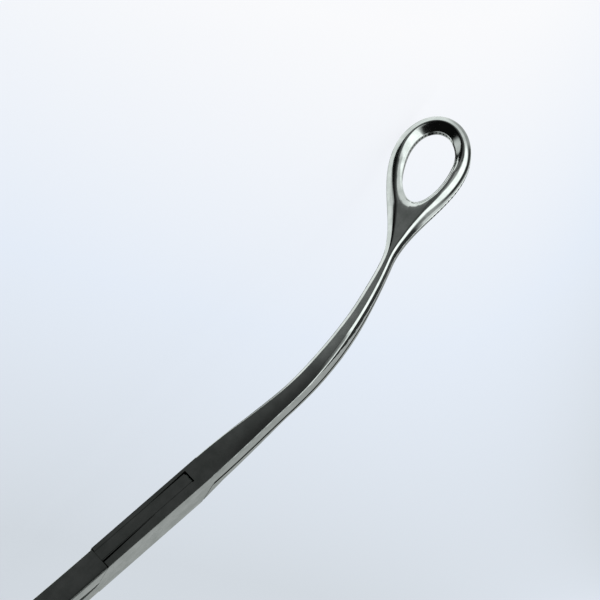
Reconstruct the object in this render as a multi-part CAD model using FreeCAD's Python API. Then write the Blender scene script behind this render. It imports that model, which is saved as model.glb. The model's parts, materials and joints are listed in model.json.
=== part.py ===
import FreeCAD
import Part
import math
import os

# Curved ring (sponge) forceps, closed, resting like an arch on its jaw tips and finger rings.
# Working frame: X along the handle axis toward the tips, Y the opening direction, Z the lock axis.
# The jaws curve toward -Z. The last step turns the whole instrument about Y and sets it on Z = 0.

V = FreeCAD.Vector

# box lock
boxThick = 5.5
boxWidth = 8.0
shoulderX = 11.9
crotchX = 15.4
slotLow = -1.8
slotHigh = 0.65
slotPlay = 0.08
endPlay = 0.22
edgeBreak = 0.2
step = 0.05
pinR = 1.6
pinPlay = 0.05

# jaw shanks
jawMidWidth = 3.95
neckWidth = 2.5
neckDepth = 2.3
bevelUnder = 1.1
dropUnder = 1.6
bevelUpper = 0.8
dropUpper = 0.6
shankGap = 0.4
bendStart = 37.5
bendRadius = 84.7
bendAngle = 26.3

# jaw rings
ringWidth = 18.2
ringReach = 11.85
ringTail = 24.8
ringSet = 27.1
ringShift = 0.4
barSide = 3.4
barTip = 3.4
holeTail = 11.9
ringHalf = 2.2
ringGap = 0.1
rimWall = 0.9
rimKnee = 0.45
rimKneeLevel = 1.65
rimCrest = 1.35
webStart = 20.0
webEnd = 5.0
webProud = 0.03
webSink = 0.35
rimStations = 40
holeStations = 24
toothPitch = 1.1
toothDepth = 0.3

# handles
handleEndX = -123.6
handleRise = 7.2
handleThick = 5.3
handleSet = 0.1
handleEndSize = 4.3
handleSink = 1.3
handleTuck = 0.75
handleGap = 0.2
handleBevel = 0.3
loopX = -125.5
loopY = 20.0
loopLong = 14.3
loopAcross = 10.7
loopTurn = 10.0
loopBarY = 2.1
loopBarZ = 2.3
loopStations = 16
loopSides = 12

# ratchet
ratchetX = -100.0
ratchetWidth = 4.0
ratchetThick = 1.6
ratchetPlay = 0.1
ratchetPitch = 1.6
ratchetDepth = 0.6
ratchetTeeth = 4
ratchetReach = 5.6

halfW = boxWidth / 2.0
halfT = boxThick / 2.0
bendRad = math.radians(bendAngle)
bendEnd = bendStart + bendRadius * bendRad
ringMid = bendEnd + ringSet
turnStep = 1.0 / 720.0


def lerp(a, b, t):
    return a + (b - a) * t


def smooth(x, a, b):
    t = min(1.0, max(0.0, (x - a) / (b - a)))
    return t * t * (3.0 - 2.0 * t)


def spine(s):
    # point of the jaw's centre line and its downward slope, s measured from the lock axis
    a = min(max(0.0, s - bendStart) / bendRadius, bendRad)
    rest = max(0.0, s - bendEnd)
    x = min(s, bendStart) + bendRadius * math.sin(a) + rest * math.cos(a)
    z = -bendRadius * (1.0 - math.cos(a)) - rest * math.sin(a)
    return x, z, a


def jawPoint(s, v, y):
    x, z, a = spine(s)
    return V(x + v * math.sin(a), y, z + v * math.cos(a))


def polygon(points):
    return Part.makePolygon(points + [points[0]])


def slab(points, low, high):
    face = Part.Face(polygon([V(x, y, low) for x, y in points]))
    return face.extrude(V(0, 0, high - low))


# jaws, drawn on the +Y side

def ringRise(s):
    # 0 at the neck, 1 at the widest place of the ring, in an even wave between them
    part = min(1.0, max(0.0, (ringMid - s) / ringTail))
    return (1.0 + math.cos(math.pi * part)) / 2.0


def jawHalf(s):
    # half width: box width, slimmer by the bend, slimmest at the neck, then out to the ring
    width = lerp(boxThick - 2.0 * step, jawMidWidth, smooth(s, crotchX, 44.0))
    width = lerp(width, neckWidth, smooth(s, 40.0, bendEnd))
    return lerp(width, ringWidth, ringRise(s)) / 2.0


def jawSection(s):
    # half octagon with its foot at the gap; the bevels grow from the lock toward the ring and take the
    # facets of the ring's rim where its web starts, past which the section sinks into the web
    webS = ringMid - webStart
    blend = smooth(s, bendEnd - 4.0, webS)
    proud = webProud * blend - webSink * smooth(s, webS, webS + webEnd)
    depth = lerp(halfW - step, neckDepth, smooth(s, 46.0, bendEnd))
    foot = lerp(shankGap, ringGap, smooth(s, bendEnd - 14.0, bendEnd))
    half = jawHalf(s) + proud
    mid = ringShift * smooth(s, bendEnd - 12.0, webS)
    under = smooth(s, crotchX, 34.0)
    upper = smooth(s, 36.0, 54.0)
    sides = [
        (-1.0, lerp(edgeBreak, bevelUnder, under), lerp(edgeBreak, dropUnder, under)),
        (1.0, lerp(edgeBreak, bevelUpper, upper), lerp(edgeBreak, dropUpper, upper)),
    ]
    rims = []
    for side, bevel, drop in sides:
        rim = [(0.0, depth - drop, 0.0, rimWall)]
        rim.append((bevel / 2.0, depth - drop / 2.0, rimKnee, rimKneeLevel))
        rim.append((bevel, depth, rimCrest, ringHalf))
        points = [jawPoint(s, mid + side * half, foot)]
        for inset, y, rimInset, rimLevel in rim:
            v = side * (half - lerp(inset, rimInset, blend))
            points.append(jawPoint(s, mid + v, lerp(y, rimLevel, blend) + proud))
        rims.append(points)
    return polygon(rims[0] + rims[1][::-1])


def jawShank():
    stops = [crotchX - 2.0, 18.0, 24.0, 30.0, 36.0, 42.0, 48.0, 54.0, 60.0, 66.0, 72.0]
    for start in (bendEnd, ringMid - webStart):
        stops += [start + ahead for ahead in (0.0, 2.5, webEnd)]
    return Part.makeLoft([jawSection(s) for s in stops], True, False)


def ringOuter(t):
    # teardrop outline, t in turns from the tip: half an oval ahead, a wave toward the neck behind
    c = math.cos(2.0 * math.pi * t)
    w = math.sin(2.0 * math.pi * t) * ringWidth / 2.0
    if c >= 0.0:
        return ringReach * c, w
    return webStart * c, math.copysign(jawHalf(ringMid + webStart * c), w)


def ringHole(t):
    c = math.cos(2.0 * math.pi * t)
    w = math.sin(2.0 * math.pi * t) * (ringWidth / 2.0 - barSide)
    if c >= 0.0:
        return (ringReach - barTip) * c, w
    return holeTail * c, w * (1.0 - 0.1 * c * c)


def ringSpot(outline, t, inset, y):
    # point of an outline moved square to it toward the middle of the ring
    u, v = outline(t)
    lastU, lastV = outline(max(t - turnStep, -0.5))
    nextU, nextV = outline(min(t + turnStep, 0.5))
    share = inset / math.hypot(nextU - lastU, nextV - lastV)
    return jawPoint(ringMid + u - (nextV - lastV) * share, v + (nextU - lastU) * share + ringShift, y)


def rimWire(inset, y):
    rim = Part.BSplineCurve()
    rim.interpolate([ringSpot(ringOuter, k / rimStations - 0.5, inset, y) for k in range(rimStations + 1)])
    edge = rim.toShape()
    return Part.Wire([edge, Part.makeLine(edge.lastVertex().Point, edge.firstVertex().Point)])


def holeWire(inset, y):
    rim = Part.BSplineCurve()
    spots = [ringSpot(ringHole, k / holeStations - 0.5, -inset, y) for k in range(holeStations)]
    rim.interpolate(spots, PeriodicFlag=True)
    return Part.Wire(rim.toShape())


def jawRing():
    # flat teardrop with a hole, both rims facetted in three steps into a half-round bar
    steps = [(0.0, rimWall), (rimKnee, rimKneeLevel), (rimCrest, ringHalf)]
    solid = Part.makeLoft([rimWire(0.0, ringGap)] + [rimWire(inset, y) for inset, y in steps], True, True)
    hole = Part.makeLoft([holeWire(0.0, ringGap)] + [holeWire(inset, y) for inset, y in steps], True, True)
    return solid.cut(hole)


def serrations():
    # V grooves across the flat face, evenly spaced round the bar
    cuts = []
    run = 0.0
    last = ringSpot(ringOuter, -0.5, barSide / 2.0, ringGap)
    for k in range(1, 360):
        t = k / 360.0 - 0.5
        spot = ringSpot(ringOuter, t, barSide / 2.0, ringGap)
        run += spot.distanceToPoint(last)
        last = spot
        if run < toothPitch:
            continue
        run -= toothPitch
        if ringOuter(t)[0] < -holeTail:
            continue
        start = ringSpot(ringOuter, t, -1.0, ringGap)
        along = (spot - start).normalize()
        side = along.cross(V(0, 1, 0)).normalize() * (toothPitch * 0.3)
        face = Part.Face(polygon([start - side, start + side, start + V(0, toothDepth, 0)]))
        cuts.append(face.extrude(along * (barSide + 2.0)))
    return Part.makeCompound(cuts)


jaw = jawRing().cut(serrations()).fuse(jawShank())


# handles, drawn on the +Y side

def handleWaste(x):
    # the end gets slimmer so that it runs out inside the bar of the finger ring
    return handleSink * smooth(-x, 110.0, -handleEndX)


def handleDepth(x):
    depth = lerp(halfW - step - handleGap, 3.3, smooth(-x, crotchX, 24.0))
    return lerp(depth, handleEndSize, smooth(-x, 40.0, 110.0)) - handleWaste(x)


def handleMiddle(x):
    outer = halfW - step + handleRise * smooth(-x, crotchX, 112.0)
    return outer - handleDepth(x) / 2.0 - handleTuck * handleWaste(x)


def handleSection(x):
    # octagon with a crisp foot at the lock and wide bevels where the hand holds it
    lead = handleMiddle(x + 0.5) - handleMiddle(x - 0.5)
    across = V(-lead, 1, 0).normalize()
    halfY = handleDepth(x) / 2.0
    halfZ = (lerp(handleThick, handleEndSize, smooth(-x, 30.0, 110.0)) - handleWaste(x)) / 2.0
    bevel = lerp(handleBevel, handleEndSize * 0.29, smooth(-x, 20.0, 90.0))
    corners = [
        (-halfY, bevel - halfZ),
        (bevel - halfY, -halfZ),
        (halfY - bevel, -halfZ),
        (halfY, bevel - halfZ),
        (halfY, halfZ - bevel),
        (halfY - bevel, halfZ),
        (bevel - halfY, halfZ),
        (-halfY, halfZ - bevel),
    ]
    middle = V(x, handleMiddle(x), handleSet * (1.0 - smooth(-x, 30.0, 70.0)))
    return polygon([middle + across * y + V(0, 0, z) for y, z in corners])


def handleShank():
    stops = [-shoulderX + 1.0, -crotchX, -18.0, -24.0, -34.0, -46.0, -58.0, -70.0, -82.0, -94.0, -104.0, -111.0]
    stops += [-117.0, handleEndX]
    return Part.makeLoft([handleSection(x) for x in stops], True, False)


def loopPoint(turn):
    tilt = math.radians(loopTurn)
    front = V(math.cos(tilt), -math.sin(tilt), 0)
    side = V(math.sin(tilt), math.cos(tilt), 0)
    spot = V(loopX, loopY, 0) + front * (loopLong * math.cos(turn)) + side * (loopAcross * math.sin(turn))
    lead = front * (-loopLong * math.sin(turn)) + side * (loopAcross * math.cos(turn))
    return spot, lead.normalize()


def fingerLoop():
    # many-sided oval bar
    wires = []
    for k in range(loopStations):
        spot, lead = loopPoint(2.0 * math.pi * k / loopStations)
        out = lead.cross(V(0, 0, 1)) * loopBarY
        turns = [2.0 * math.pi * n / loopSides for n in range(loopSides)]
        wires.append(polygon([spot + out * math.cos(a) + V(0, 0, loopBarZ * math.sin(a)) for a in turns]))
    return Part.makeLoft(wires, True, False, True)


def ratchetBar():
    # bar reaching across under the middle plane, sawtooth face upward
    top = -ratchetPlay - ratchetDepth
    points = [(handleMiddle(ratchetX), top - ratchetThick), (-ratchetReach + 0.8, top - ratchetThick)]
    points.append((-ratchetReach, top - ratchetThick + 0.8))
    for k in range(ratchetTeeth):
        start = -ratchetReach + k * ratchetPitch
        points.append((start, top))
        points.append((start + ratchetPitch, top + ratchetDepth))
    points.append((-ratchetReach + ratchetTeeth * ratchetPitch, top))
    points.append((handleMiddle(ratchetX), top))
    outline = polygon([V(ratchetX - ratchetWidth / 2.0, y, z) for y, z in points])
    return Part.Face(outline).extrude(V(ratchetWidth, 0, 0))


handle = handleShank().fuse([fingerLoop(), ratchetBar()])


# lock: the shoulders slant from the outer corner to the crotch

def endLine(y, play):
    return crotchX + play - (crotchX - shoulderX) * y / halfW


def slotBlank():
    # plan of the slot: closed by the slanted ends, open on the side where the other half leaves
    over = halfW + 2.0
    points = []
    for side in (1.0, -1.0):
        points.append((side * endLine(over, endPlay), side * over))
        points.append((side * endLine(0.0, endPlay), 0.0))
        points.append((side * (crotchX + 20.0), 0.0))
        points.append((side * (crotchX + 20.0), -side * over))
    return slab(points, slotLow, slotHigh)


def tongueBlank():
    # the tongue fills the slot and runs on inside the jaw and the handle of its own half
    points = []
    for side in (1.0, -1.0):
        foot = shankGap + 0.2
        inset = halfW - 0.4
        points.append((side * shoulderX, side * halfW))
        points.append((side * crotchX, 0.0))
        points.append((side * (crotchX + 0.8), -side * foot))
        points.append((side * (crotchX + 0.8), -side * inset))
        points.append((side * (shoulderX + slotPlay), -side * inset))
        points.append((side * (shoulderX + slotPlay), -side * halfW))
    return slab(points, slotLow + slotPlay, slotHigh - slotPlay)


def shoulderBlank(side, ahead):
    # everything on the box side of a shoulder, for trimming the full-thickness parts
    line = [(side * (endLine(halfW + 1.0, endPlay)), ahead * (halfW + 1.0))]
    line.append((side * endLine(-1.0, endPlay), -ahead))
    line.append((0.0, -ahead))
    line.append((0.0, ahead * (halfW + 1.0)))
    return slab(line, -boxThick, boxThick)


def bevelled(shape):
    # small edge break along the box's long outer edges
    long = []
    for edge in shape.Edges:
        box = edge.BoundBox
        if box.XLength > shoulderX and box.YLength < 0.01 and box.ZLength < 0.01:
            if abs(abs(box.YMin) - halfW) < 0.01:
                long.append(edge)
    return shape.makeChamfer(edgeBreak, long)


def otherSide(shape):
    return shape.mirror(V(0, 0, 0), V(0, 1, 0))


def halfTurn(shape):
    turned = shape.copy()
    turned.rotate(V(0, 0, 0), V(1, 0, 0), 180.0)
    return turned


def femaleHalf():
    end = crotchX + 0.6
    points = []
    for side in (1.0, -1.0):
        foot = shankGap if side > 0.0 else handleGap
        points.append((-side * shoulderX, side * halfW))
        points.append((side * end, side * halfW))
        points.append((side * end, side * foot))
        points.append((side * crotchX, 0.0))
    bore = Part.makeCylinder(pinR, boxThick + 2.0, V(0, 0, -halfT - 1.0))
    block = bevelled(slab(points, -halfT, halfT))
    return block.fuse([jaw, halfTurn(handle)]).cut(slotBlank()).cut(bore)


def maleHalf():
    bore = Part.makeCylinder(pinR + pinPlay, boxThick, V(0, 0, -halfT))
    tongue = tongueBlank().cut(bore)
    far = otherSide(jaw).cut(shoulderBlank(1.0, -1.0))
    near = handle.cut(shoulderBlank(-1.0, 1.0))
    return tongue.fuse([far, near])


female = femaleHalf()
male = maleHalf()
pin = Part.makeCylinder(pinR, boxThick, V(0, 0, -halfT))


# resting pose: the lowest points of the jaw rings and of the finger rings share one level

def tipLevel(angle):
    low = 0.0
    for k in range(360):
        u, v = ringOuter(k / 360.0)
        p = jawPoint(ringMid + u, v + ringShift, ringGap)
        low = min(low, p.x * math.sin(angle) + p.z * math.cos(angle))
    return low


def loopLevel(angle):
    back = min(loopPoint(2.0 * math.pi * k / 360.0)[0].x for k in range(360))
    return back * math.sin(angle) - loopBarZ


pitch = 0.1
for k in range(40):
    pitch += (loopLevel(pitch) - tipLevel(pitch)) / 240.0

parts = {"female_half": female, "male_half": male, "lock_pin": pin}
whole = Part.makeCompound(list(parts.values()))
whole.rotate(V(0, 0, 0), V(0, 1, 0), -math.degrees(pitch))
cloud = whole.tessellate(0.02)[0]
low = [min(p[k] for p in cloud) for k in range(3)]
high = [max(p[k] for p in cloud) for k in range(3)]
shift = V(-(low[0] + high[0]) / 2.0, 0, -low[2])
os.makedirs("parts", exist_ok=True)
for name, shape in parts.items():
    placed = shape.Solids[0]
    placed.rotate(V(0, 0, 0), V(0, 1, 0), -math.degrees(pitch))
    placed.translate(shift)
    placed.exportStep("parts/" + name + ".step")
    print(name, placed.isValid(), len(shape.Solids), round(placed.Volume, 2))
print("lock axis through", shift, "pitch in degrees", math.degrees(pitch))
print("lowest", low, "highest", high, "tip level", tipLevel(pitch), "loop level", loopLevel(pitch))
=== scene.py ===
import json
import math

import bmesh
import bpy
import numpy as np
from mathutils import Matrix, Vector


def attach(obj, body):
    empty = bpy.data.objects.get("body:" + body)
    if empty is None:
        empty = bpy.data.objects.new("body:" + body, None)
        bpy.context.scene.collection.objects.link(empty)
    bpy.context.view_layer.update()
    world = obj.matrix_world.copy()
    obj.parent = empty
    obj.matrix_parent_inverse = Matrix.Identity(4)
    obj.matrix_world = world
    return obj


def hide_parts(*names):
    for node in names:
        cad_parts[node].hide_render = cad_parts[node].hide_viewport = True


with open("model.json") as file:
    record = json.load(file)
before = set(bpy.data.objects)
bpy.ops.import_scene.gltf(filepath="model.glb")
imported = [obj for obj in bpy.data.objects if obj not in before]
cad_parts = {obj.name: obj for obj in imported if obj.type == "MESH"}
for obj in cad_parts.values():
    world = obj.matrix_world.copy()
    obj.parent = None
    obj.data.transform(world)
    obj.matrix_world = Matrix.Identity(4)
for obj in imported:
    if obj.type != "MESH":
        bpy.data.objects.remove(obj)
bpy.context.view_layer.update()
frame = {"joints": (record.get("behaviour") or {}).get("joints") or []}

print("scene: frame loaded")

# The forceps are drawn in the maker's frame, in millimetres: X toward the tips, Z along the lock axis,
# Y the opening direction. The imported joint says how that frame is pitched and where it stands.
hinge = frame["joints"][0]
pitch = math.atan2(hinge["axis"][0], -hinge["axis"][2])
pivot = np.array(hinge["pos_m"])


def turnedUp(p):
    # a turn about Y by the pitch
    c, s = math.cos(pitch), math.sin(pitch)
    return np.stack([p[..., 0] * c - p[..., 2] * s, p[..., 1], p[..., 0] * s + p[..., 2] * c], -1)


def placed(points):
    # maker's millimetres to metres on the floor
    return turnedUp(np.asarray(points, float) * 0.001) + pivot


def lerp(a, b, t):
    return a + (b - a) * t


def smooth(x, a, b):
    t = np.clip((np.asarray(x, float) - a) / (b - a), 0.0, 1.0)
    return t * t * (3.0 - 2.0 * t)


# shells: a shell is an array of points and a list of faces

def gridFaces(rows, columns, closeRows=False):
    # quads of a grid stored row by row, closed round its columns
    i = np.arange(rows if closeRows else rows - 1)[:, None]
    j = np.arange(columns)[None, :]
    k, m = (i + 1) % rows, (j + 1) % columns
    corners = (i * columns + j, i * columns + m, k * columns + m, k * columns + j)
    return np.stack(np.broadcast_arrays(*corners), -1).reshape(-1, 4)


def volumeOf(points, faces):
    # sum of the tetrahedra from the origin to each triangle of each face
    fans = np.array([(f[0], b, c) for f in faces for b, c in zip(f[1:-1], f[2:])])
    a, b, c = points[fans[:, 0]], points[fans[:, 1]], points[fans[:, 2]]
    return float((a * np.cross(b, c)).sum()) / 6.0


def outward(shell):
    points, faces = shell
    return (points, [face[::-1] for face in faces]) if volumeOf(points, faces) < 0 else shell


def welded(shell, tolerance=1e-3):
    # points that share a place become one, and faces that collapse are dropped
    points, faces = shell
    key, first, back = np.unique(np.round(points / tolerance).astype(np.int64), axis=0,
                                 return_index=True, return_inverse=True)
    back = back.ravel()
    kept = []
    for face in faces:
        ring = [int(back[k]) for k in face]
        ring = [a for a, b in zip(ring, ring[-1:] + ring[:-1]) if a != b]
        if len(ring) > 2:
            kept.append(ring)
    used = np.unique(np.concatenate([np.array(f) for f in kept]))
    order = np.full(len(key), -1)
    order[used] = np.arange(len(used))
    return points[first][used], [[int(order[k]) for k in f] for f in kept]


def mirrored(shell):
    points, faces = shell
    return points * np.array([1.0, -1.0, 1.0]), [face[::-1] for face in faces]


def halfTurned(shell):
    points, faces = shell
    return points * np.array([1.0, -1.0, -1.0]), faces


def meshOf(name, shell):
    points, faces = shell
    mesh = bpy.data.meshes.new(name)
    mesh.from_pydata(points.tolist(), [], [list(map(int, f)) for f in faces])
    return mesh


def shellOf(mesh):
    points = np.empty(len(mesh.vertices) * 3)
    mesh.vertices.foreach_get("co", points)
    faces = [list(p.vertices) for p in mesh.polygons]
    bpy.data.meshes.remove(mesh)
    return points.reshape(-1, 3), faces


def prism(plan, low, high, axis="z"):
    # a flat outline carried straight from low to high
    n = len(plan)
    plan = np.asarray(plan, float)
    levels = np.repeat([low, high], n)
    flat = np.tile(plan, (2, 1))
    points = np.insert(flat, "xyz".index(axis), levels, axis=1)
    k = np.arange(n)
    sides = np.stack([k, (k + 1) % n, n + (k + 1) % n, n + k], 1).tolist()
    return outward((points, [k[::-1].tolist(), (n + k).tolist()] + sides))


def disc(radius, sides=96):
    turn = np.arange(sides) * 2.0 * math.pi / sides
    return np.stack([radius * np.cos(turn), radius * np.sin(turn)], 1)


def carved(shell, cutters):
    # the shell less its cutters
    made = []
    for k, item in enumerate([shell] + cutters):
        made.append(bpy.data.objects.new("blank%d" % k, meshOf("blank", item)))
        bpy.context.scene.collection.objects.link(made[k])
        if k:
            cut = made[0].modifiers.new("cut", "BOOLEAN")
            cut.operation, cut.solver, cut.object = "DIFFERENCE", "EXACT", made[k]
    bpy.context.view_layer.update()
    result = bpy.data.meshes.new_from_object(made[0].evaluated_get(bpy.context.evaluated_depsgraph_get()))
    for thing in made:
        bpy.data.meshes.remove(thing.data)
    return shellOf(result)


def edgesBroken(shell, width, keep):
    # sharp edges rounded by a width, apart from those whose two ends the keep test names
    bm = bmesh.new()
    mesh = meshOf("edges", shell)
    bm.from_mesh(mesh)
    bmesh.ops.remove_doubles(bm, verts=bm.verts, dist=1e-4)
    bmesh.ops.dissolve_limit(bm, angle_limit=0.01, verts=bm.verts, edges=bm.edges)
    sharp = [e for e in bm.edges if len(e.link_faces) == 2 and e.calc_face_angle() > 0.5
             and not keep(e.verts[0].co, e.verts[1].co)]
    bmesh.ops.bevel(bm, geom=sharp, offset=width, segments=2, profile=0.5, affect="EDGES")
    bmesh.ops.triangulate(bm, faces=[f for f in bm.faces if len(f.verts) > 4])
    bm.to_mesh(mesh)
    bm.free()
    return shellOf(mesh)


def assembled(name, flat, curved, crease=35.0):
    # closed shells of one forging as one object, in metres and in place, with creases kept sharp
    start = 0
    points, faces = [], []
    for p, f in flat + curved:
        points.append(p)
        faces += [[int(k) + start for k in face] for face in f]
        start += len(p)
    mesh = meshOf(name, (placed(np.concatenate(points)), faces))
    mesh.polygons.foreach_set("use_smooth", np.ones(len(faces), bool))
    mesh.set_sharp_from_angle(angle=math.radians(crease))
    mesh.polygons.foreach_set("use_smooth", np.arange(len(faces)) >= sum(len(f) for p, f in flat))
    piece = bpy.data.objects.new(name, mesh)
    bpy.context.scene.collection.objects.link(piece)
    return piece


# box lock: the female half is slotted, the male half passes through it

lockSize = {
    "halfW": 4.0, "halfT": 2.75,                # half width and half thickness of the box
    "shoulderX": 11.9, "crotchX": 15.4,         # the shoulders slant between these
    "endX": 16.0,                               # where the shanks begin
    "slotLow": -1.8, "slotHigh": 0.65,          # walls of the slot along the lock axis
    "slotPlay": 0.08, "endPlay": 0.22,
    "pinR": 1.6, "pinPlay": 0.05, "pinProud": 0.003,
    "jawFoot": 0.4, "handleFoot": 0.2,
    "slotEdge": 0.05, "pinChamfer": 0.01, "pinSides": 96,
    "holeReach": 4.0, "cutOver": 1.0,           # how far the cutters pass the box
    # the wedge beside the slot and the gap at the tongue's end, in X and Z, and where each starts in Y
    "groove": [(-12.6, 0.84), (2.0, 0.70), (2.0, 0.76), (-12.6, 1.30)], "grooveY": -1.0,
    "notch": [(3.0, -1.78), (3.0, -1.83), (12.0, -2.1), (12.5, -2.1), (12.5, 0.85), (12.0, 0.85),
              (11.9, -1.78)], "notchY": 1.0,
}
lockSize["slant"] = (lockSize["crotchX"] - lockSize["shoulderX"]) / lockSize["halfW"]


def shoulderAt(y, play):
    # where the slanted shoulder stands at a distance from the middle plane
    return lockSize["crotchX"] + play - lockSize["slant"] * y


def bothEnds(corners):
    # the plan of a lock part looks the same after half a turn about the lock axis
    return [(side * x, side * y) for side in (1.0, -1.0) for x, y in corners]


def boxShell():
    k = lockSize
    plan = [(-k["shoulderX"], k["halfW"]), (k["endX"], k["halfW"]), (k["endX"], k["jawFoot"]),
            (k["crotchX"], 0.0), (k["shoulderX"], -k["halfW"]), (-k["endX"], -k["halfW"]),
            (-k["endX"], -k["handleFoot"]), (-k["crotchX"], 0.0)]
    over, far, side = k["halfW"] + 2.0, k["endX"] + 20.0, k["halfW"] + k["cutOver"]
    slot = bothEnds([(shoulderAt(over, k["endPlay"]), over), (shoulderAt(0.0, k["endPlay"]), 0.0),
                     (far, 0.0), (far, -over)])
    cutters = [prism(slot, k["slotLow"], k["slotHigh"]),
               prism(disc(k["pinR"] + 0.01), -k["holeReach"], k["holeReach"]),
               prism(k["groove"], k["grooveY"], side, "y"), prism(k["notch"], k["notchY"], side, "y")]
    box = carved(prism(plan, -k["halfT"], k["halfT"]), cutters)

    def keptSharp(a, b):
        # the ends at the shanks, the edges below the faces, and the pin's hole
        atShank = min(abs(a.x), abs(b.x)) > k["endX"] - 0.01 and a.x * b.x > 0
        below = max(abs(a.z), abs(b.z)) < k["halfT"] - 0.01
        return atShank or below or max(a.xy.length, b.xy.length) < k["pinR"] + 0.4

    return outward(edgesBroken(box, k["slotEdge"], keptSharp))


def tongueShell():
    k = lockSize
    foot, inset, root = k["jawFoot"] + 0.2, k["halfW"] - 0.4, k["crotchX"] + 0.8
    plan = bothEnds([(k["shoulderX"], k["halfW"]), (k["crotchX"], 0.0), (root, -foot), (root, -inset),
                     (k["shoulderX"] + k["slotPlay"], -inset), (k["shoulderX"] + k["slotPlay"], -k["halfW"])])
    tongue = carved(prism(plan, k["slotLow"] + k["slotPlay"], k["slotHigh"] - k["slotPlay"]),
                    [prism(disc(k["pinR"] + k["pinPlay"]), -k["holeReach"], k["holeReach"])])
    # all its edges stay sharp
    return outward(edgesBroken(tongue, k["slotEdge"], lambda a, b: True))


def pinShell():
    # turned profile: a flat face with a fine chamfer at each end, ground a hair proud of the box
    k = lockSize
    sides, chamfer = k["pinSides"], k["pinChamfer"]
    top = k["halfT"] + k["pinProud"]
    radii = np.array([k["pinR"] - chamfer, k["pinR"], k["pinR"], k["pinR"] - chamfer])
    levels = np.array([-top, -top + chamfer, top - chamfer, top])
    turn = np.arange(sides) * 2.0 * math.pi / sides
    points = np.stack([radii[:, None] * np.cos(turn), radii[:, None] * np.sin(turn),
                       np.repeat(levels[:, None], sides, 1)], -1).reshape(-1, 3)
    faces = gridFaces(4, sides).tolist() + [list(range(sides)), list(range(3 * sides, 4 * sides))[::-1]]
    return outward((points, faces))


# jaw: one curved shank that opens into a teardrop ring

jawSize = {
    "boxHalf": 2.75, "boxDepth": 4.0, "start": 16.0,
    "midWidth": 3.85, "neckWidth": 2.45, "neckDepth": 2.3, "underOut": 0.42,
    "foot": 0.42, "ringFoot": 0.1,
    "bendStart": 37.5, "bendRadius": 84.7, "bendAngle": 26.3,
    "slimTo": 44.0, "neckFrom": 40.0, "depthFrom": 46.0,      # where the shank's changes end and start
    "outFrom": (34.0, 60.0), "outTo": (68.0, 80.0),
    "crown": 0.0148, "crownFrom": (18.0, 26.0),               # fall at 1 mm from the centre line
    "soft": (0.03, 0.12), "softAlong": (76.0, 100.0), "holeSoft": 0.25,
    "ringWidth": 17.3, "ringReach": 11.5, "ringTail": 27.0, "ringSet": 27.1,
    "ringShift": 0.35, "ringLean": 0.35,
    "barSide": 3.5, "barTip": 3.8, "holeTail": 11.2, "tailLead": 2.1, "ringTop": 2.2,
    "toothPitch": 1.1, "toothDepth": 0.3, "toothOpen": 0.3,
    "stations": 150, "across": 48, "under": 8, "wall": 4,
}
jawSize["bendEnd"] = jawSize["bendStart"] + jawSize["bendRadius"] * math.radians(jawSize["bendAngle"])
jawSize["ringMid"] = jawSize["bendEnd"] + jawSize["ringSet"]

# how the top falls toward the outline, by distance along the jaw: (inset, drop) from the outline inward
rimUnder = {
    16: ((0, 0.14), (0.07, 0.04), (0.14, 0), (0.5, 0), (1, 0)),
    24: ((0, 0.24), (0.10, 0.12), (0.20, 0), (0.5, 0), (1, 0)),
    30: ((0, 0.76), (0.10, 0.50), (0.46, 0), (0.9, 0), (1, 0)),
    46: ((0, 1.24), (0.16, 0.86), (0.82, 0), (1.0, 0), (1.1, 0)),
    78: ((0, 1.36), (0.18, 0.96), (0.92, 0), (1.1, 0), (1.2, 0)),
    84: ((0, 1.40), (0.55, 0.72), (0.95, 0.25), (1.3, 0.06), (1.6, 0)),
    90: ((0, 1.80), (0.60, 1.05), (1.10, 0.48), (1.75, 0.10), (2.2, 0)),
    100: ((0, 1.80), (0.55, 1.05), (0.95, 0.55), (1.35, 0.28), (2.1, 0)),
    106: ((0, 1.60), (0.50, 0.95), (0.90, 0.50), (1.35, 0.20), (1.9, 0)),
    114: ((0, 1.40), (0.40, 0.80), (0.90, 0.35), (1.40, 0.10), (1.9, 0)),
}
rimOver = {
    16: ((0, 0.14), (0.07, 0.04), (0.14, 0), (0.5, 0), (1, 0)),
    43: ((0, 0.14), (0.07, 0.04), (0.14, 0), (0.5, 0), (1, 0)),
    49: ((0, 0.50), (0.18, 0.12), (0.40, 0.08), (0.95, 0), (1.2, 0)),
    57: ((0, 1.10), (0.36, 0.13), (0.60, 0.08), (1.00, 0), (1.2, 0)),
    60: ((0, 1.40), (0.44, 0.24), (0.56, 0.18), (0.90, 0), (1.2, 0)),
    76: ((0, 1.40), (0.40, 0.28), (0.50, 0.20), (0.78, 0), (1.1, 0)),
    83: ((0, 1.60), (0.35, 0.55), (0.50, 0.30), (0.85, 0.04), (1.2, 0)),
    90: ((0, 1.75), (0.50, 1.25), (1.05, 0.30), (1.50, 0.03), (1.9, 0)),
    96: ((0, 1.95), (0.45, 1.42), (0.80, 0.74), (1.70, 0.24), (2.9, 0)),
    105: ((0, 1.90), (0.35, 1.42), (0.60, 0.86), (1.45, 0.32), (2.8, 0)),
    110: ((0, 1.60), (0.35, 1.10), (0.80, 0.55), (1.35, 0.18), (2.1, 0)),
    114: ((0, 1.40), (0.40, 0.80), (0.90, 0.35), (1.40, 0.10), (1.9, 0)),
}
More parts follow.
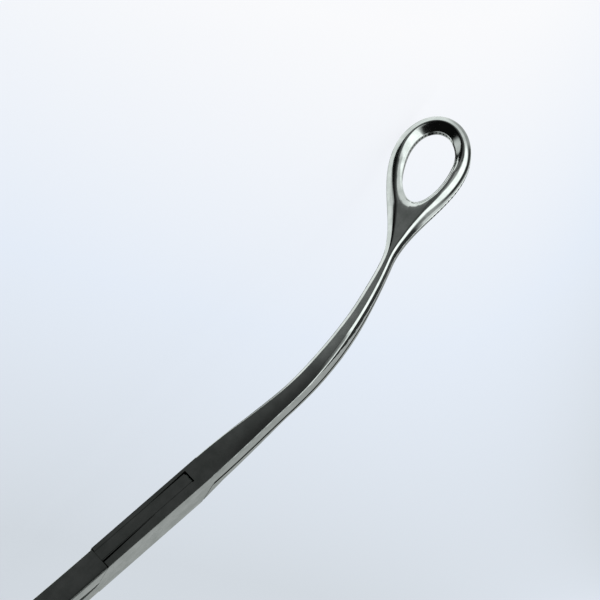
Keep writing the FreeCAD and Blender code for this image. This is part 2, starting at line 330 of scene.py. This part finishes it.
# the same from the hole outward: soft and low at the sides, higher and steeper toward the tip
holeUnder = {
    89: ((0, 0.90), (0.5, 0.40), (1.1, 0.14), (1.7, 0.04), (2.2, 0)),
    97: ((0, 0.60), (0.5, 0.28), (1.1, 0.10), (1.7, 0.03), (2.2, 0)),
    101: ((0, 0.80), (0.4, 0.40), (1.0, 0.18), (1.6, 0.05), (2.2, 0)),
    105: ((0, 1.20), (0.3, 0.85), (0.8, 0.48), (1.4, 0.14), (2.1, 0)),
    109: ((0, 1.50), (0.3, 1.20), (0.9, 0.70), (1.5, 0.22), (2.0, 0)),
}
holeOver = {
    89: holeUnder[89],
    94: ((0, 0.90), (0.3, 0.50), (0.6, 0.14), (0.9, 0), (1.2, 0)),
    102: ((0, 1.00), (0.3, 0.60), (0.65, 0.20), (0.95, 0), (1.3, 0)),
    106: ((0, 1.30), (0.3, 1.00), (0.8, 0.55), (1.3, 0.16), (1.8, 0)),
    109: holeUnder[109],
}
# the far jaw is rounded away under the joint line
rimFar = {
    15.5: ((0, 0.14), (0.07, 0.04), (0.14, 0), (0.5, 0), (1, 0)),
    19: ((0, 1.80), (0.30, 1.10), (0.70, 0.50), (1.10, 0.20), (1.8, 0)),
    28: ((0, 2.30), (0.35, 1.40), (0.80, 0.60), (1.20, 0.25), (2.0, 0)),
    36: ((0, 2.90), (0.35, 1.70), (0.75, 0.75), (1.10, 0.30), (1.9, 0)),
    50: ((0, 2.60), (0.30, 1.50), (0.60, 0.70), (0.90, 0.30), (1.6, 0)),
    60: ((0, 1.70), (0.25, 1.00), (0.45, 0.55), (0.70, 0.25), (1.1, 0)),
    **{s: rimOver[s] for s in (76, 83, 90, 96, 105, 110, 114)},
}


def bent(s, v, y):
    # along the handle axis, then round an arc toward -Z, then straight on; v is square to that line
    j = jawSize
    a = np.clip((s - j["bendStart"]) / j["bendRadius"], 0.0, math.radians(j["bendAngle"]))
    rest = np.maximum(0.0, s - j["bendEnd"])
    x = np.minimum(s, j["bendStart"]) + j["bendRadius"] * np.sin(a) + rest * np.cos(a)
    z = -j["bendRadius"] * (1.0 - np.cos(a)) - rest * np.sin(a)
    return np.stack([x + v * np.sin(a), y, z + v * np.cos(a)], -1)


def ringOuter(t):
    # the ring's outline, t in turns from the tip; only its front half is used as it is
    j = jawSize
    return j["ringReach"] * np.cos(2 * np.pi * t), np.sin(2 * np.pi * t) * j["ringWidth"] / 2


def ringHole(t):
    # an oval that is longer and a little slimmer toward the lock
    j = jawSize
    c, w = np.cos(2 * np.pi * t), np.sin(2 * np.pi * t) * (j["ringWidth"] / 2 - j["barSide"])
    reach = np.where(c >= 0, j["ringReach"] - j["barTip"], j["holeTail"])
    return reach * c, np.where(c >= 0, w, w * (1 - 0.1 * c * c))


def outlineHalf(s, side):
    # half width: box width, slimmer by the bend, slimmest at the neck, then a cosine wave out to the ring;
    # the underside stands out a little along the bend
    j = jawSize
    width = lerp(2 * j["boxHalf"], j["midWidth"], smooth(s, j["start"], j["slimTo"]))
    width = lerp(width, j["neckWidth"], smooth(s, j["neckFrom"], j["bendEnd"]))
    rise = (1 + np.cos(np.pi * np.clip((j["ringMid"] - s) / j["ringTail"], 0.0, 1.0))) / 2
    out = j["underOut"] * smooth(s, *j["outFrom"]) * (1 - smooth(s, *j["outTo"])) * (side < 0)
    return lerp(width, j["ringWidth"], rise) / 2 + out


def centreLine(s):
    j = jawSize
    lean = j["ringLean"] * smooth(s, j["bendEnd"] + 8.0, j["ringMid"] + 4.0)
    return j["ringShift"] * smooth(s, j["bendEnd"] - 12.0, j["bendEnd"] + 12.0) + lean


def footAt(s):
    # half the gap between the jaws, closing toward the rings
    j = jawSize
    return lerp(j["foot"], j["ringFoot"], smooth(s, j["bendEnd"] - 14.0, j["bendEnd"]))


def rimFall(rim, s, distance, soft):
    # the rim's profile at s, blended between its neighbours along the jaw, read at a distance from the
    # outline and averaged over a short run so that its corners are soft
    stops = np.array(list(rim), float)
    knots = np.array(list(rim.values()), float)
    x, y = (np.stack([np.interp(s, stops, knots[:, k, n]) for k in range(5)], -1) for n in (0, 1))
    total = np.zeros_like(s)
    for shift in np.linspace(-soft, soft, 5):
        spot = np.maximum(distance + shift, 0.0)
        fall = np.zeros_like(s)
        for k in range(4):
            share = (spot - x[..., k]) / np.maximum(x[..., k + 1] - x[..., k], 1e-6)
            fall = np.where(share >= 0, lerp(y[..., k], y[..., k + 1], np.clip(share, 0.0, 1.0)), fall)
        total = total + fall / 5
    return total


def nearest(points, line):
    # distance from each point to a dense line of points
    found = np.empty(len(points))
    for start in range(0, len(points), 4000):
        block = points[start:start + 4000]
        found[start:start + 4000] = np.sqrt(((block[:, None] - line[None]) ** 2).sum(-1).min(1))
    return found


def jawPath(side):
    # stations from the lock to the tip: outline and inner points of one side, and the depth of the tooth cut
    j = jawSize
    lead = j["tailLead"]                         # the outline point lags the inner one at the hole's tail
    tail = j["ringMid"] - j["holeTail"]
    k = np.linspace(0.0, 1.0, j["stations"])
    outS = lerp(j["start"], tail - lead, k)
    shank = [outS, outlineHalf(outS, side), lerp(j["start"], tail, k), np.zeros_like(k)]
    # round the ring both lines are walked in even turns, the outline's tail drawn out by the lead
    turn = np.linspace(0.5, 0.0, 4001)
    c = np.cos(2 * np.pi * turn)
    ou, ov = ringOuter(turn)
    ou = np.where(c < 0, (j["holeTail"] + lead) * c, ou)
    ov = np.where(c < 0, outlineHalf(ou + j["ringMid"], side), ov)
    iu, iv = ringHole(turn)
    run = np.concatenate([[0], np.cumsum(np.hypot(np.diff(ou + iu), np.diff(ov + iv)) / 2)])
    teeth = int(run[-1] / j["toothPitch"])
    base = run[-1] - (teeth + 0.5) * j["toothPitch"]
    half = j["toothOpen"]
    offsets = np.array([-0.5, -half, -half / 2, 0.0, half / 2, half])
    depths = np.array([0.0, 0.0, 0.5, 1.0, 0.5, 0.0]) * j["toothDepth"]
    spots = np.append((base + (np.arange(teeth)[:, None] + 1.0 + offsets) * j["toothPitch"]).ravel(), run[-1])
    cuts = np.append(np.tile(depths, teeth), 0.0)
    ahead = spots > 0.12
    ring = [np.interp(spots[ahead], run, q) for q in (ou + j["ringMid"], ov, iu + j["ringMid"], iv)]
    path = [np.concatenate([a, b]) for a, b in zip(shank, ring)]
    return path, np.concatenate([np.zeros(j["stations"]), cuts[ahead]])


def jawHeight(s, v, rim, holeRim, outline, hole):
    # full depth less the fall toward the outline and toward the hole
    j = jawSize
    depth = lerp(j["boxDepth"], j["neckDepth"], smooth(s, j["depthFrom"], j["bendEnd"]))
    depth = lerp(depth, j["ringTop"], smooth(s, j["bendEnd"], j["bendEnd"] + 12.0))
    spot = np.stack([s, v], -1)
    crown = j["crown"] * (v - centreLine(s)) ** 2 * smooth(s, *j["crownFrom"])
    crown = crown * (1 - smooth(s, j["bendEnd"] - 4, j["bendEnd"] + 6))
    soft = lerp(*j["soft"], smooth(s, *j["softAlong"]))
    height = depth - crown - rimFall(rim, s, nearest(spot, outline), soft)
    inside = rimFall(holeRim, s, nearest(spot, hole), j["holeSoft"])
    return height - np.where(s > j["ringMid"] - j["holeTail"] - j["barSide"], inside, 0.0)


def jawShell(slanted):
    # one strip per side, each across the top, down the inner wall, back under the foot, up the outer wall;
    # in the shank the two strips meet on the centre line and have no inner wall
    j = jawSize
    t = np.linspace(0, 1, 2001)
    hu, hv = ringHole(t)
    hole = np.stack([hu + j["ringMid"], hv + centreLine(hu + j["ringMid"])], -1)
    tu, tv = ringOuter(t[np.abs(t - 0.5) > 0.25])
    front = np.stack([tu + j["ringMid"], tv + centreLine(tu + j["ringMid"])], -1)
    dense = np.linspace(j["start"] - 4.0, j["ringMid"], 1500)
    over = (1 - np.cos(np.pi * np.arange(j["across"] + 1) / j["across"])) / 2
    under = np.arange(j["under"] + 1) / j["under"]
    climb = np.arange(1, j["wall"]) / j["wall"]
    points, faces, start = [], [], 0
    for side, rim, holeRim in ((-1.0, rimUnder, holeUnder), (1.0, rimFar if slanted else rimOver, holeOver)):
        (outS, outV, inS, inV), cuts = jawPath(side)
        edge = centreLine(dense) + side * outlineHalf(dense, side)
        outline = np.concatenate([np.stack([dense, edge], -1), front])
        s = lerp(outS[:, None], inS[:, None], over)
        v = lerp(outV[:, None], inV[:, None], over) * side + centreLine(s)
        sBack = lerp(inS[:, None], outS[:, None], under)
        vBack = lerp(inV[:, None], outV[:, None], under) * side + centreLine(sBack)
        yBack = footAt(sBack) + cuts[:, None]
        y = jawHeight(s.ravel(), v.ravel(), rim, holeRim, outline, hole).reshape(s.shape)
        y = np.maximum(y, footAt(s) + cuts[:, None] + 0.02)
        ones = np.ones(j["wall"] - 1)
        s = np.concatenate([s, s[:, -1:] * ones, sBack, s[:, :1] * ones], 1)
        v = np.concatenate([v, v[:, -1:] * ones, vBack, v[:, :1] * ones], 1)
        inner, outer = lerp(y[:, -1:], yBack[:, :1], climb), lerp(yBack[:, -1:], y[:, :1], climb)
        y = np.concatenate([y, inner, yBack, outer], 1)
        if slanted:
            # the far jaw starts on the slanted shoulder of its own half
            reach = 1 - np.clip((s - j["start"]) / 5.0, 0.0, 1.0)
            s = s + (shoulderAt(y, lockSize["endPlay"]) - j["start"]) * reach
        rows, columns = s.shape
        quads = gridFaces(rows, columns)
        row, column = quads[:, 0] // columns, quads[:, 0] % columns
        wall = (row < j["stations"] - 1) & (column >= j["across"]) & (column < j["across"] + j["wall"])
        quads = quads[~wall].tolist() + [list(range(columns))[::-1]]
        faces += [[k + start for k in (f if side > 0 else f[::-1])] for f in quads]
        points.append(bent(s, v, y).reshape(-1, 3))
        start += rows * columns
    return outward(welded((np.concatenate(points), faces)))


# handle: a bowed shank with a finger ring and one arm of the ratchet

handleSize = {
    "endX": -123.6, "rise": 7.2, "thick": 5.36, "set": 0.07, "endSize": 4.3, "gap": 0.2, "inset": 0.05,
    "midDepth": 3.3, "boxy": 18.0, "round": 2.6, "sink": 1.3, "tuck": 0.75, "startPlay": 0.12,
    "deepTo": 24.0, "slimAlong": (40.0, 110.0), "thinAlong": (30.0, 110.0), "roundAlong": (20.0, 90.0),
    "setAlong": (30.0, 70.0), "slantRun": 8.0,
    "stations": 160, "sides": 72,
}
loopSize = {
    "x": -125.5, "y": 20.0, "long": 14.3, "across": 10.7, "turn": 10.0, "barY": 2.1, "barZ": 2.3,
    "stations": 160, "sides": 40,
}
ratchetSize = {
    "x": -100.0, "width": 4.0, "thick": 1.6, "play": 0.1, "pitch": 1.6, "depth": 0.6, "teeth": 4,
    "reach": 5.6, "edge": 0.12, "nose": 0.8,
}


def handleWaste(x):
    # the end gets slimmer and runs out inside the bar of the finger ring
    return handleSize["sink"] * smooth(-x, 110.0, -handleSize["endX"])


def handleDepth(x):
    h = handleSize
    start = lockSize["halfW"] - h["inset"] - h["gap"]
    depth = lerp(start, h["midDepth"], smooth(-x, lockSize["crotchX"], h["deepTo"]))
    return lerp(depth, h["endSize"], smooth(-x, *h["slimAlong"])) - handleWaste(x)


def handleMiddle(x):
    h = handleSize
    outer = lockSize["halfW"] - h["inset"] + h["rise"] * smooth(-x, lockSize["crotchX"], 112.0)
    return outer - handleDepth(x) / 2 - h["tuck"] * handleWaste(x)


def roundedBox(turn, halfA, halfB, power):
    # superellipse: nearly a box at a high power, an oval at 2
    c, s = np.cos(turn), np.sin(turn)
    return (halfA * np.sign(c) * np.abs(c) ** (2 / power), halfB * np.sign(s) * np.abs(s) ** (2 / power))


def handleShell(slanted):
    # a section carried back along the bowed line, boxy at the lock and rounder toward the finger ring
    h = handleSize
    start = -shoulderAt(lockSize["halfW"] / 2, h["startPlay"]) if slanted else -lockSize["endX"] + 0.5
    x = np.linspace(start, h["endX"], h["stations"])[:, None]
    turn = np.linspace(0, 2 * math.pi, h["sides"], endpoint=False)[None]
    power = lerp(h["boxy"], h["round"], smooth(-x, *h["roundAlong"]))
    thick = lerp(h["thick"], h["endSize"], smooth(-x, *h["thinAlong"])) - handleWaste(x)
    a, b = roundedBox(turn, handleDepth(x) / 2, thick / 2, power)
    b = b + (h["set"] if slanted else -h["set"]) * (1 - smooth(-x, *h["setAlong"]))
    slope = (handleMiddle(x + 0.5) - handleMiddle(x - 0.5))
    scale = 1 / np.sqrt(1 + slope ** 2)
    px, py, pz = x - a * slope * scale, handleMiddle(x) + a * scale, np.broadcast_to(b, a.shape)
    if slanted:
        reach = 1 - np.clip((start - px) / h["slantRun"], 0.0, 1.0)
        px = px + (-shoulderAt(py, h["startPlay"]) - start) * reach
    points = np.stack([px, py, pz], -1).reshape(-1, 3)
    last = (h["stations"] - 1) * h["sides"]
    faces = gridFaces(h["stations"], h["sides"]).tolist()
    faces += [list(range(h["sides"]))[::-1], list(range(last, last + h["sides"]))]
    return outward((points, faces))


def loopShell():
    # an oval bar carried round an oval line
    k = loopSize
    tilt = math.radians(k["turn"])
    turn = np.linspace(0, 2 * math.pi, k["stations"], endpoint=False)[:, None]
    spin = np.linspace(0, 2 * math.pi, k["sides"], endpoint=False)[None]
    u, v = k["long"] * np.cos(turn), k["across"] * np.sin(turn)
    du, dv = -k["long"] * np.sin(turn), k["across"] * np.cos(turn)
    size = np.hypot(du, dv)
    u = u + dv / size * k["barY"] * np.cos(spin)
    v = v - du / size * k["barY"] * np.cos(spin)
    x = k["x"] + u * math.cos(tilt) + v * math.sin(tilt)
    y = k["y"] - u * math.sin(tilt) + v * math.cos(tilt)
    z = k["barZ"] * np.sin(spin) + 0 * turn
    faces = gridFaces(k["stations"], k["sides"], closeRows=True).tolist()
    return outward((np.stack([x, y, z], -1).reshape(-1, 3), faces))


def ratchetShell():
    # an arm that reaches across under the middle plane, with a sawtooth upper face
    k = ratchetSize
    top = -k["play"] - k["depth"]
    root = float(handleMiddle(k["x"]))
    under, nose = top - k["thick"], k["nose"]
    plan = [(root, under), (nose - k["reach"], under), (-k["reach"], under + nose)]
    for n in range(k["teeth"]):
        tooth = -k["reach"] + n * k["pitch"]
        plan += [(tooth, top), (tooth + k["pitch"], top + k["depth"])]
    plan += [(-k["reach"] + k["teeth"] * k["pitch"], top), (root, top)]
    arm = prism(plan, k["x"] - k["width"] / 2, k["x"] + k["width"] / 2, "x")
    return outward(edgesBroken(arm, k["edge"], lambda a, b: False))


print("scene: shells")
jawNear, jawFar = jawShell(False), jawShell(True)
femaleHalf = assembled("femaleHalf", [boxShell(), halfTurned(ratchetShell())],
                       [jawNear, halfTurned(handleShell(False)), halfTurned(loopShell())])
maleHalf = assembled("maleHalf", [tongueShell(), ratchetShell()],
                     [mirrored(jawFar), handleShell(True), loopShell()])
lockPin = assembled("lockPin", [], [pinShell()])
for piece, body, node, slot in ((femaleHalf, "female", "female_half", "forged_steel"),
                                (maleHalf, "male", "male_half", "forged_steel"),
                                (lockPin, "female", "lock_pin", "pin_steel")):
    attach(piece, body)
    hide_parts(node)
print("scene: forceps", [len(p.data.polygons) for p in (femaleHalf, maleHalf, lockPin)])


# shader maths

class Sock:
    # wraps a socket so that + - * / build Math nodes
    def __init__(self, tree, socket):
        self.tree, self.socket = tree, socket

    def maths(self, operation, other, swap=False):
        node = self.tree.nodes.new("ShaderNodeMath")
        node.operation = operation
        pair = [other, self] if swap else [self, other]
        for slot, value in zip(node.inputs, pair):
            if isinstance(value, Sock):
                self.tree.links.new(value.socket, slot)
            elif value is not None:
                slot.default_value = value
        return Sock(self.tree, node.outputs[0])

    def __add__(self, other):
        return self.maths("ADD", other)

    __radd__ = __add__

    def __mul__(self, other):
        return self.maths("MULTIPLY", other)

    __rmul__ = __mul__

    def __sub__(self, other):
        return self.maths("SUBTRACT", other)

    def __rsub__(self, other):
        return self.maths("SUBTRACT", other, True)

    def __truediv__(self, other):
        return self.maths("DIVIDE", other)

    def atLeast(self, other):
        return self.maths("MAXIMUM", other)

    def atMost(self, other):
        return self.maths("MINIMUM", other)

    def between(self, low, high):
        # 0 at low, 1 at high, eased
        node = self.tree.nodes.new("ShaderNodeMapRange")
        node.interpolation_type = "SMOOTHSTEP"
        self.tree.links.new(self.socket, node.inputs["Value"])
        node.inputs["From Min"].default_value = low
        node.inputs["From Max"].default_value = high
        return Sock(self.tree, node.outputs[0])


class Shader:
    def __init__(self, tree):
        self.tree = tree
        tree.nodes.clear()

    def node(self, kind, settings=None, values=None, output=0):
        made = self.tree.nodes.new("ShaderNode" + kind)
        for key, value in (settings or {}).items():
            if key == "stops":
                ramp = made.color_ramp
                while len(ramp.elements) < len(value):
                    ramp.elements.new(0.5)
                for element, (place, shade) in zip(ramp.elements, value):
                    element.position, element.color = place, shade
            else:
                setattr(made, key, value)
        for key, value in (values or {}).items():
            if isinstance(value, Sock):
                self.tree.links.new(value.socket, made.inputs[key])
            else:
                made.inputs[key].default_value = value
        return Sock(self.tree, made.outputs[output]) if made.outputs else None


# polished steel

steelLook = {
    "base": (0.605, 0.63, 0.62), "tint": (0.45, 0.48, 0.465), "rough": 0.10, "roughRange": 0.12,
    "wipe": 260.0, "mottle": 420.0, "scratch": 2600.0, "wave": 90.0,          # sizes of the patterns
    "stretch": 0.12, "bump": 0.06, "bumpDepth": 0.0002, "pinPolish": 1.4,
}


def steelMaterial(name, look, polish=1.0):
    material = bpy.data.materials.new(name)
    material.use_nodes = True
    sh = Shader(material.node_tree)
    place = sh.node("TexCoord", output=3)
    # long wipe marks run with the instrument, so the pattern is stretched along X
    long = sh.node("Mapping", {}, {"Vector": place, "Scale": (look["stretch"], 1.0, 1.0)})
    wipe = sh.node("TexNoise", {}, {"Vector": long, "Scale": look["wipe"], "Detail": 4.0, "Roughness": 0.6})
    wave = sh.node("TexNoise", {}, {"Vector": place, "Scale": look["wave"], "Detail": 2.0})
    hairs = {"Vector": long, "Scale": look["scratch"], "Detail": 3.0, "Roughness": 0.7}
    fine = sh.node("TexNoise", {}, hairs)
    spots = {"Vector": place, "Scale": look["mottle"], "Detail": 5.0, "Roughness": 0.65}
    mottle = sh.node("TexNoise", {}, spots)
    stain = (0.4 * wipe + 0.6 * mottle).between(0.36, 0.66)
    ends = {"Factor": stain, "A": (*look["base"], 1.0), "B": (*look["tint"], 1.0)}
    tone = sh.node("Mix", {"data_type": "RGBA"}, ends, output=2)
    rough = look["rough"] * polish + look["roughRange"] * polish * wipe.between(0.4, 0.75) * fine
    relief = wave + 0.25 * wipe + 0.06 * fine
    bump = sh.node("Bump", {}, {"Strength": look["bump"], "Distance": look["bumpDepth"], "Height": relief})
    skin = {"Base Color": tone, "Metallic": 1.0, "Roughness": rough, "Normal": bump}
    shell = sh.node("BsdfPrincipled", {}, skin)
    sh.node("OutputMaterial", {}, {"Surface": shell})
    return material


def dress(piece, material):
    piece.data.materials.clear()
    piece.data.materials.append(material)


forged = steelMaterial("forgedSteel", steelLook)
pinned = steelMaterial("pinSteel", steelLook, steelLook["pinPolish"])
dress(femaleHalf, forged)
dress(maleHalf, forged)
dress(lockPin, pinned)
print("scene: steel")

# floor, world and lamps

stageLook = {
    "half": 6.0, "shadow": 0.15, "strength": 1.1, "matt": (0.75, 0.77, 0.80, 1.0),
    # brightness over the floor, fitted to the photo's background: 1, x, y, xx, xy, yy, in metres
    "level": (0.719, 2.695, 0.838, -6.885, -0.532, 0.584),
    "dim": 0.708, "span": 0.265,                # the dimmest tone's level, and the way to the brightest
    # painted falloff of light: the floor's colour runs from a dim bluish tone where the quadratic is low to
    # near white where it is high
    "paintedFalloff": ((0.0, (0.615, 0.663, 0.716, 1.0)), (0.55, (0.757, 0.820, 0.915, 1.0)),
              (1.0, (0.944, 0.946, 0.963, 1.0))),
}


def rayKinds(sh, *names):
    path = sh.node("LightPath").socket.node
    total = Sock(sh.tree, path.outputs[names[0]])
    for name in names[1:]:
        total = total + Sock(sh.tree, path.outputs[name])
    return total.atMost(1.0)


def floorStage():
    # the camera sees a pale glow with a painted falloff of light and a soft shadow, and the metal sees
    # through it to the world below
    k = stageLook
    half = k["half"]
    mesh = bpy.data.meshes.new("floor")
    corners = [(-half, -half, 0), (half, -half, 0), (half, half, 0), (-half, half, 0)]
    mesh.from_pydata(corners, [], [(0, 1, 2, 3)])
    floor = bpy.data.objects.new("floor", mesh)
    bpy.context.scene.collection.objects.link(floor)
    material = bpy.data.materials.new("paleFloor")
    material.use_nodes = True
    sh = Shader(material.node_tree)
    matt = sh.node("BsdfDiffuse", {}, {"Color": k["matt"]})
    parts = sh.node("SeparateXYZ", {}, {"Vector": sh.node("TexCoord", output=3)}).socket.node
    x, y = Sock(sh.tree, parts.outputs[0]), Sock(sh.tree, parts.outputs[1])
    # the quadratic, then spread from 0 to 1
    flat, alongX, alongY, xx, xy, yy = k["level"]
    level = flat + alongX * x + alongY * y + xx * x * x + xy * x * y + yy * y * y
    # painted falloff of light: the glow's colour dims and turns bluish away from its brightest part
    tone = sh.node("ValToRGB", {"stops": k["paintedFalloff"]}, {"Fac": (level - k["dim"]) / k["span"]})
    glow = sh.node("Emission", {}, {"Color": tone, "Strength": k["strength"]})
    seen = rayKinds(sh, "Is Camera Ray", "Is Transmission Ray")
    both = sh.node("MixShader", {}, {0: seen * (1 - k["shadow"]), 1: matt, 2: glow})
    through = sh.node("BsdfTransparent")
    surface = sh.node("MixShader", {}, {0: rayKinds(sh, "Is Glossy Ray"), 1: both, 2: through})
    sh.node("OutputMaterial", {}, {"Surface": surface})
    mesh.materials.append(material)


# pairs are degrees, where a band starts and where it is full, or where it fades and is gone; those that end
# in Low or High bound its elevation, the rest its azimuth
roomLook = {
    "color": (0.965, 1.0, 0.985, 1.0), "walls": 0.48, "least": 0.03,
    "darkFrom": (-122, -112), "darkTo": (30, 38), "darkHigh": (3, 10), "darkClimb": 1.3, "climbTo": 16,
    "tipFrom": (-42, -30), "tipTo": (0, 10), "tipLow": (30, 38), "tipHigh": (58, 66),
    "shine": 0.75, "shineHigh": (-58, -44), "shineTo": (-30, -10),
    "glow": 0.006, "glowLow": (-46, -30), "glowHigh": (-20, -10), "glowFade": 0.55,
    "glowSteps": ((0.06, (-2, 7)), (0.15, (12, 26))),
    "window": 0.50, "windowFrom": (8, 20), "windowTo": (75, 100), "windowLow": (-62, -50),
    "pane": 0.80, "paneTo": (66, 80), "paneLow": (10, 20), "paneHigh": (56, 64),
    "rear": 0.44, "rearFrom": (98, 110), "rearTo": (-168, -150),
    "beamLow": (10, 20), "beamHigh": (62, 70), "beamClimb": 0.6, "beamAt": 112,
    "low": 0.70, "lowHigh": (-32, -12),
    "cap": 0.9, "capLow": (72, 80),
    "shelf": 0.9, "shelfFrom": (138, 148), "shelfLow": (-52, -46), "shelfHigh": (-24, -16),
}


def studioWorld():
    # radiance by direction: azimuth from +Y toward +X, elevation from the horizon, both in degrees
    k = roomLook
    world = bpy.data.worlds.new("studio")
    bpy.context.scene.world = world
    world.use_nodes = True
    sh = Shader(world.node_tree)
    parts = sh.node("SeparateXYZ", {}, {"Vector": sh.node("TexCoord", output=0)}).socket.node
    x, y, z = (Sock(sh.tree, parts.outputs[n]) for n in range(3))
    around = x.maths("ARCTAN2", y) * (180 / math.pi)
    above = z.maths("ARCSINE", None) * (180 / math.pi)

    def rises(value, pair):
        return value.between(*k[pair])

    def fades(value, pair):
        return 1 - value.between(*k[pair])

    # the dark room behind the camera ends low on the right and climbs toward the left
    climb = above + k["darkClimb"] * (around - k["climbTo"]).atMost(0.0)
    front = rises(around, "darkFrom") * fades(around, "darkTo") * fades(climb, "darkHigh")
    # a dark patch higher up that the tip of the ring reflects
    tip = rises(around, "tipFrom") * fades(around, "tipTo") * rises(above, "tipLow") * fades(above, "tipHigh")
    front = front + tip * (1 - front)
    # a shine from below, as a pale floor gives it, for the inner side of the rings
    front = front * (1 - k["shine"] * fades(above, "shineHigh") * fades(around, "shineTo"))
    (step, place), (nextStep, nextPlace) = k["glowSteps"]
    steps = step * around.between(*place) + nextStep * around.between(*nextPlace)
    glow = k["glow"] + rises(above, "glowLow") * (1 - k["glowFade"] * rises(above, "glowHigh")) * steps
    window = rises(around, "windowFrom") * fades(around, "windowTo") * rises(above, "windowLow")
    pane = window * fades(around, "paneTo") * rises(above, "paneLow") * fades(above, "paneHigh")
    # a dimmer band in the rear wall, whose lower edge climbs with the azimuth
    level = above - k["beamClimb"] * (around - k["beamAt"]).atLeast(0.0)
    beam = rises(level, "beamLow") * fades(above, "beamHigh")
    rear = beam * (rises(around, "rearFrom") + fades(around, "rearTo")).atMost(1.0)
    low = k["low"] * fades(above, "lowHigh")
    shelf = rises(around, "shelfFrom") * rises(above, "shelfLow") * fades(above, "shelfHigh")
    light = k["walls"] + low + k["window"] * window * (1 - low) + k["pane"] * pane - k["rear"] * rear
    light = front * glow + (1 - front) * light.atLeast(k["least"])
    light = light * (1 - k["cap"] * rises(above, "capLow")) * (1 - k["shelf"] * shelf)
    background = sh.node("Background", {}, {"Color": k["color"], "Strength": light})
    sh.node("OutputWorld", {}, {"Surface": background})


lampLook = {"spot": (0.5, -0.8, 1.2), "size": 2.4, "energy": 10.0}


def softLamp():
    # a wide disc that faces the object and isn't seen in the metal
    k = lampLook
    data = bpy.data.lights.new("softLamp", "AREA")
    data.shape, data.size, data.energy = "DISK", k["size"], k["energy"]
    lamp = bpy.data.objects.new("softLamp", data)
    bpy.context.scene.collection.objects.link(lamp)
    lamp.visible_glossy = False
    facing = Vector(k["spot"]).to_track_quat("Z", "Y").to_matrix().to_4x4()
    lamp.matrix_world = Matrix.Translation(k["spot"]) @ facing


floorStage()
studioWorld()
softLamp()

# camera, measured from the photograph: the spot and the aim are from the lock axis, in the maker's frame

cameraSize = {
    "spot": (-40.15, 354.56, 115.93), "aim": (56.32, 0.0, -15.49), "roll": 127.52,
    "sensor": 36.0, "focalPixels": 1824.2, "picturePixels": 600.0,
}


def photoCamera():
    k = cameraSize
    data = bpy.data.cameras.new("camera")
    data.sensor_width = k["sensor"]
    data.lens = k["sensor"] * (k["focalPixels"] / k["picturePixels"])
    data.clip_start, data.clip_end = 0.01, 50.0
    camera = bpy.data.objects.new("camera", data)
    bpy.context.scene.collection.objects.link(camera)
    spot, aim = (Vector(placed(np.array(k[name]))) for name in ("spot", "aim"))
    facing = (aim - spot).to_track_quat("-Z", "Y").to_matrix().to_4x4()
    camera.matrix_world = Matrix.Translation(spot) @ facing @ Matrix.Rotation(math.radians(k["roll"]), 4, "Z")
    bpy.context.scene.camera = camera


photoCamera()
scene = bpy.context.scene
scene.view_settings.view_transform = "Standard"
print("scene: done")
